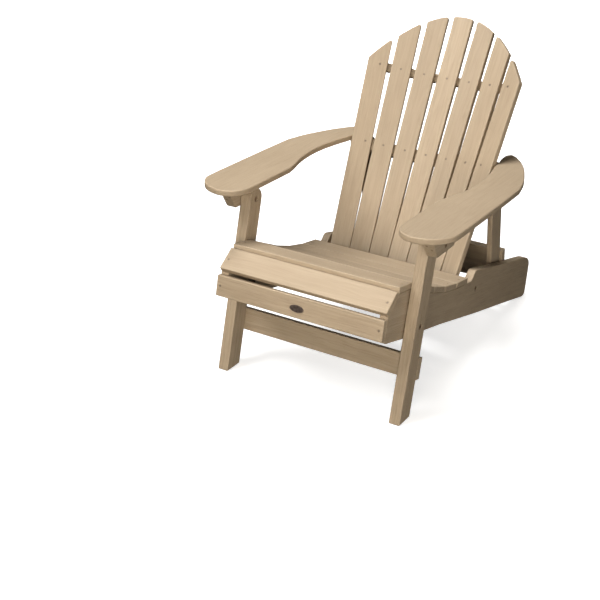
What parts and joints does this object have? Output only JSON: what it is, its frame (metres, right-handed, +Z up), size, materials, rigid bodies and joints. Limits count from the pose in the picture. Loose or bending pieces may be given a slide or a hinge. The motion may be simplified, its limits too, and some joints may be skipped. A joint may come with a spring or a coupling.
{
  "type": "adirondack chair",
  "caption": "Folding, reclining adirondack chair of synthetic lumber boards, with a curved fan back, broad arms, sloping legs and a rear prop that all fold together.",
  "frame": {"origin": "on the ground, under the middle of the chair's box", "axes": "+Z up; the chair's front faces -Y and its back +Y; +X is the sitter's left"},
  "size_m": [0.7944, 1.0956, 0.929],
  "materials": {
    "lumber": "embossed wood grain, matte",
    "bolt_steel": "dull",
    "plaque": "dark bronze, satin"
  },
  "bodies": {
    "seat_frame": {"seat_slat_1": "lumber", "seat_slat_2": "lumber", "seat_slat_3": "lumber", "seat_slat_4": "lumber", "seat_slat_5": "lumber", "seat_slat_6": "lumber", "nose_slat": "lumber", "front_apron": "lumber", "apron_plaque": "plaque", "side_rail_left": "lumber", "side_rail_right": "lumber", "prop_rack_left": "lumber", "prop_rack_right": "lumber", "rear_tie": "lumber"},
    "legs": {"front_leg_left": "lumber", "front_leg_right": "lumber", "front_stretcher": "lumber", "leg_pivot_bolt_left": "bolt_steel", "leg_pivot_bolt_right": "bolt_steel"},
    "arms": {"arm_left": "lumber", "arm_right": "lumber", "arm_block_left": "lumber", "arm_block_right": "lumber", "arm_pivot_bolt_left": "bolt_steel", "arm_pivot_bolt_right": "bolt_steel", "tail_block_left": "lumber", "tail_block_right": "lumber", "tail_pivot_bolt_left": "bolt_steel", "tail_pivot_bolt_right": "bolt_steel"},
    "back": {"back_slat_1": "lumber", "back_slat_2": "lumber", "back_slat_3": "lumber", "back_slat_4": "lumber", "back_slat_5": "lumber", "back_slat_6": "lumber", "back_slat_7": "lumber", "back_cleat_upper": "lumber", "back_cleat_lower": "lumber", "back_cleat_foot": "lumber", "back_pivot_bolt_left": "bolt_steel", "back_pivot_bolt_right": "bolt_steel"},
    "prop": {"prop_upright_left": "lumber", "prop_upright_right": "lumber", "prop_rail": "lumber"}
  },
  "joints": [
    {"name": "back_fold", "type": "hinge", "parent": "seat_frame", "child": "back", "pos_m": [0, 0.0862, 0.1945], "axis": [-1, 0, 0], "range_deg": [0, 50]},
    {"name": "leg_fold", "type": "hinge", "parent": "seat_frame", "child": "legs", "pos_m": [0, -0.3859, 0.27], "axis": [-1, 0, 0], "range_deg": [0, 62.6]},
    {"name": "arm_pivot", "type": "hinge", "parent": "legs", "child": "arms", "pos_m": [0, -0.3322, 0.5034], "axis": [1, 0, 0], "range_deg": [0, 55.1]},
    {"name": "prop_swing", "type": "hinge", "parent": "arms", "child": "prop", "pos_m": [0, 0.2653, 0.503], "axis": [1, 0, 0], "range_deg": [0, 82.6]}
  ],
  "couplings": [
    {"joint": "leg_fold", "follows": "back_fold", "ratio": 1.25},
    {"joint": "arm_pivot", "follows": "back_fold", "ratio": 1.1},
    {"joint": "prop_swing", "follows": "back_fold", "ratio": 1.65}
  ]
}
